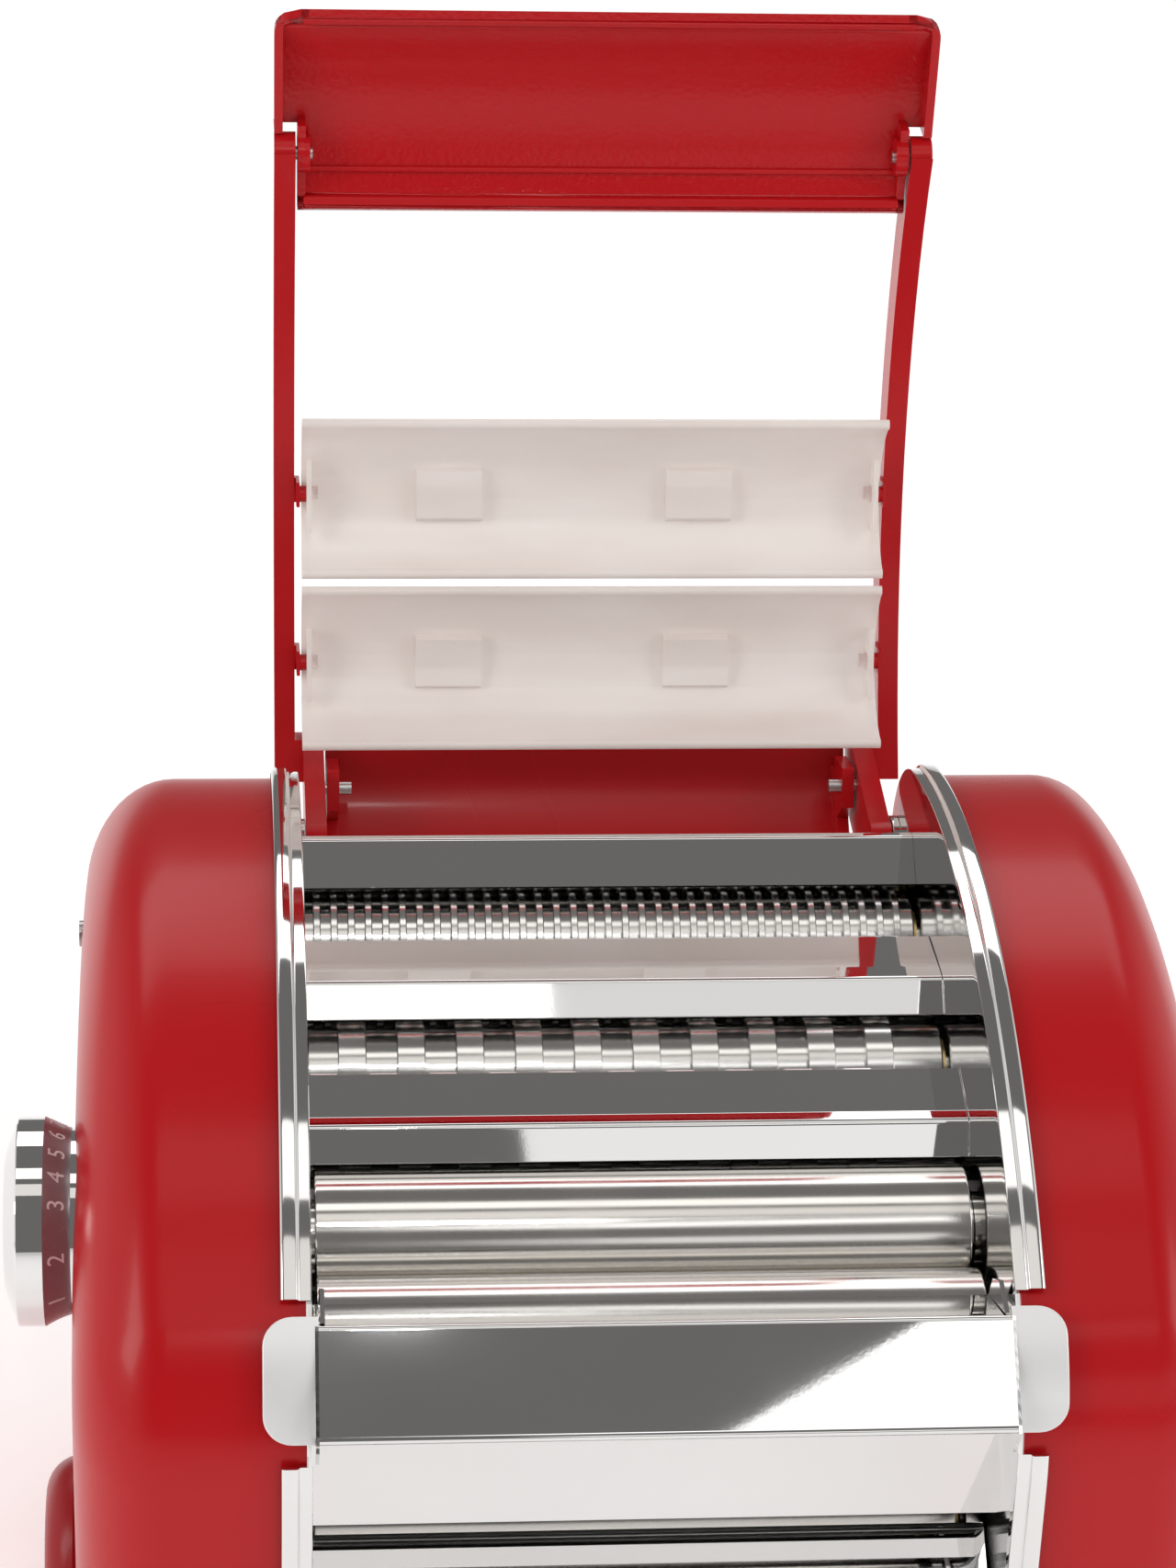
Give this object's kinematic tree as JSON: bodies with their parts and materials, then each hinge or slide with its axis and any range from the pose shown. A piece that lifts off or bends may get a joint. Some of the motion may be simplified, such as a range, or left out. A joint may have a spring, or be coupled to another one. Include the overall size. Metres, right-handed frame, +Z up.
{
  "type": "electric pasta roller machine",
  "caption": "Countertop pasta machine with polished rollers and cutters between two red housings, a hinged lid with clear covers, a thickness dial and a dough tray.",
  "frame": {"origin": "on the table, under the middle of the machine's outline with its lid open", "axes": "+Z up, +X right as seen from the feed tray side, +Y away from that side; the rollers run along X"},
  "size_m": [0.2604, 0.2704, 0.3575],
  "materials": {
    "red_enamel": "glossy",
    "red_plastic": "glossy",
    "chrome": "polished",
    "steel": "machined",
    "brass": "machined",
    "rubber": "matt",
    "black_plastic": "matt",
    "clear_cover": "translucent"
  },
  "bodies": {
    "base": {"base_plate": "black_plastic", "rubber_feet": "rubber", "left_housing": "red_enamel", "right_housing": "red_enamel", "screws": "steel", "left_side_plate": "chrome", "right_side_plate": "chrome", "front_panel": "chrome", "rear_panel": "chrome", "outlet_plate": "chrome", "chute": "chrome", "rear_guide_sheet": "chrome", "middle_guide_sheet": "chrome", "front_guide_sheet": "chrome", "tie_rods": "steel", "roller_bushes": "brass", "cutter_combs": "steel", "roller_scrapers": "steel", "block_guides": "steel", "dial_bracket": "steel", "gear_bridge": "steel", "motor_body": "steel", "motor_bracket": "steel", "switch_body": "black_plastic", "cord_inlet": "black_plastic", "detent_plunger": "brass", "lid_pivot_pins": "steel", "lid_washers": "chrome", "lid_stops": "rubber"},
    "tray": {"dough_tray": "chrome"},
    "dial": {"thickness_dial": "chrome", "dial_shaft": "steel"},
    "roller_carriage": {"left_bearing_block": "steel", "right_bearing_block": "steel", "block_link": "steel"},
    "rear_smooth": {"rear_smooth_roller": "chrome", "rear_roller_gear": "steel"},
    "front_smooth": {"front_smooth_roller": "chrome", "front_roller_gears": "steel"},
    "spaghetti_front": {"spaghetti_roller_front": "steel", "spaghetti_front_gears": "steel"},
    "spaghetti_rear": {"spaghetti_roller_rear": "steel", "spaghetti_rear_gear": "steel"},
    "fettuccine_front": {"fettuccine_roller_front": "steel", "fettuccine_front_gears": "steel"},
    "fettuccine_rear": {"fettuccine_roller_rear": "steel", "fettuccine_rear_gear": "steel"},
    "cutter_idler": {"cutter_idler_gear": "steel"},
    "drive_idler": {"drive_idler_gear": "steel"},
    "low_gear": {"reduction_gear_low": "steel"},
    "high_gear": {"reduction_gear_high": "steel"},
    "motor_rotor": {"motor_shaft": "steel"},
    "knob": {"switch_knob": "red_plastic"},
    "lid": {"lid_arms": "red_enamel", "lid_rear_panel": "red_enamel", "lid_pins": "steel", "front_cover": "clear_cover", "rear_cover": "clear_cover"},
    "flap": {"feed_flap": "red_enamel"}
  },
  "joints": [
    {"name": "lid_hinge", "type": "hinge", "parent": "base", "child": "lid", "pos_m": [0.00715, 0.06634, 0.163], "axis": [1, 0, 0], "range_deg": [0, 105]},
    {"name": "flap_hinge", "type": "hinge", "parent": "lid", "child": "flap", "pos_m": [0.00715, 0.12052, 0.32137], "axis": [1, 0, 0], "range_deg": [-45, 30]},
    {"name": "tray_lift", "type": "slide", "parent": "base", "child": "tray", "axis": [0, -0.5, 0.866], "range_m": [0, 0.03]},
    {"name": "dial_turn", "type": "hinge", "parent": "base", "child": "dial", "pos_m": [0.00715, -0.05916, 0.142], "axis": [1, 0, 0], "range_deg": [-54.1, 54.1]},
    {"name": "gap_slide", "type": "slide", "parent": "base", "child": "roller_carriage", "axis": [0, 0.9563, 0.2924], "range_m": [-0.0008, 0.0008]},
    {"name": "switch_turn", "type": "hinge", "parent": "base", "child": "knob", "pos_m": [0.00715, -0.05566, 0.049], "axis": [1, 0, 0], "range_deg": [-90, 0]},
    {"name": "front_smooth_spin", "type": "hinge", "parent": "base", "child": "front_smooth", "pos_m": [0.00715, -0.08747, 0.12835], "axis": [1, 0, 0], "continuous": true},
    {"name": "rear_smooth_spin", "type": "hinge", "parent": "roller_carriage", "child": "rear_smooth", "pos_m": [0.00715, -0.05916, 0.137], "axis": [1, 0, 0], "continuous": true},
    {"name": "fettuccine_front_spin", "type": "hinge", "parent": "base", "child": "fettuccine_front", "pos_m": [0.00715, -0.03391, 0.149], "axis": [1, 0, 0], "continuous": true},
    {"name": "fettuccine_rear_spin", "type": "hinge", "parent": "base", "child": "fettuccine_rear", "pos_m": [0.00715, -0.01141, 0.149], "axis": [1, 0, 0], "continuous": true},
    {"name": "spaghetti_front_spin", "type": "hinge", "parent": "base", "child": "spaghetti_front", "pos_m": [0.00715, 0.01469, 0.1555], "axis": [1, 0, 0], "continuous": true},
    {"name": "spaghetti_rear_spin", "type": "hinge", "parent": "base", "child": "spaghetti_rear", "pos_m": [0.00715, 0.03719, 0.1555], "axis": [1, 0, 0], "continuous": true},
    {"name": "drive_idler_spin", "type": "hinge", "parent": "base", "child": "drive_idler", "pos_m": [0.00715, -0.05253, 0.1305], "axis": [1, 0, 0], "continuous": true},
    {"name": "cutter_idler_spin", "type": "hinge", "parent": "base", "child": "cutter_idler", "pos_m": [0.00715, -0.00896, 0.1474], "axis": [1, 0, 0], "continuous": true},
    {"name": "high_gear_spin", "type": "hinge", "parent": "base", "child": "high_gear", "pos_m": [0.00715, -0.07295, 0.07013], "axis": [1, 0, 0], "continuous": true},
    {"name": "low_gear_spin", "type": "hinge", "parent": "base", "child": "low_gear", "pos_m": [0.00715, -0.02666, 0.0595], "axis": [1, 0, 0], "continuous": true},
    {"name": "motor_spin", "type": "hinge", "parent": "base", "child": "motor_rotor", "pos_m": [0.00715, 0.01807, 0.0545], "axis": [1, 0, 0], "continuous": true}
  ],
  "couplings": [
    {"joint": "rear_smooth_spin", "follows": "front_smooth_spin", "ratio": -1},
    {"joint": "drive_idler_spin", "follows": "front_smooth_spin", "ratio": -1.3333},
    {"joint": "fettuccine_front_spin", "follows": "front_smooth_spin", "ratio": 1.7778},
    {"joint": "fettuccine_rear_spin", "follows": "front_smooth_spin", "ratio": -1.7778},
    {"joint": "cutter_idler_spin", "follows": "front_smooth_spin", "ratio": -1.4545},
    {"joint": "spaghetti_front_spin", "follows": "front_smooth_spin", "ratio": 1.7778},
    {"joint": "spaghetti_rear_spin", "follows": "front_smooth_spin", "ratio": -1.7778},
    {"joint": "high_gear_spin", "follows": "front_smooth_spin", "ratio": -0.5},
    {"joint": "low_gear_spin", "follows": "front_smooth_spin", "ratio": 2.6667},
    {"joint": "motor_spin", "follows": "front_smooth_spin", "ratio": -17.333},
    {"joint": "dial_turn", "follows": "gap_slide", "rad_per_m": -1178.1}
  ]
}
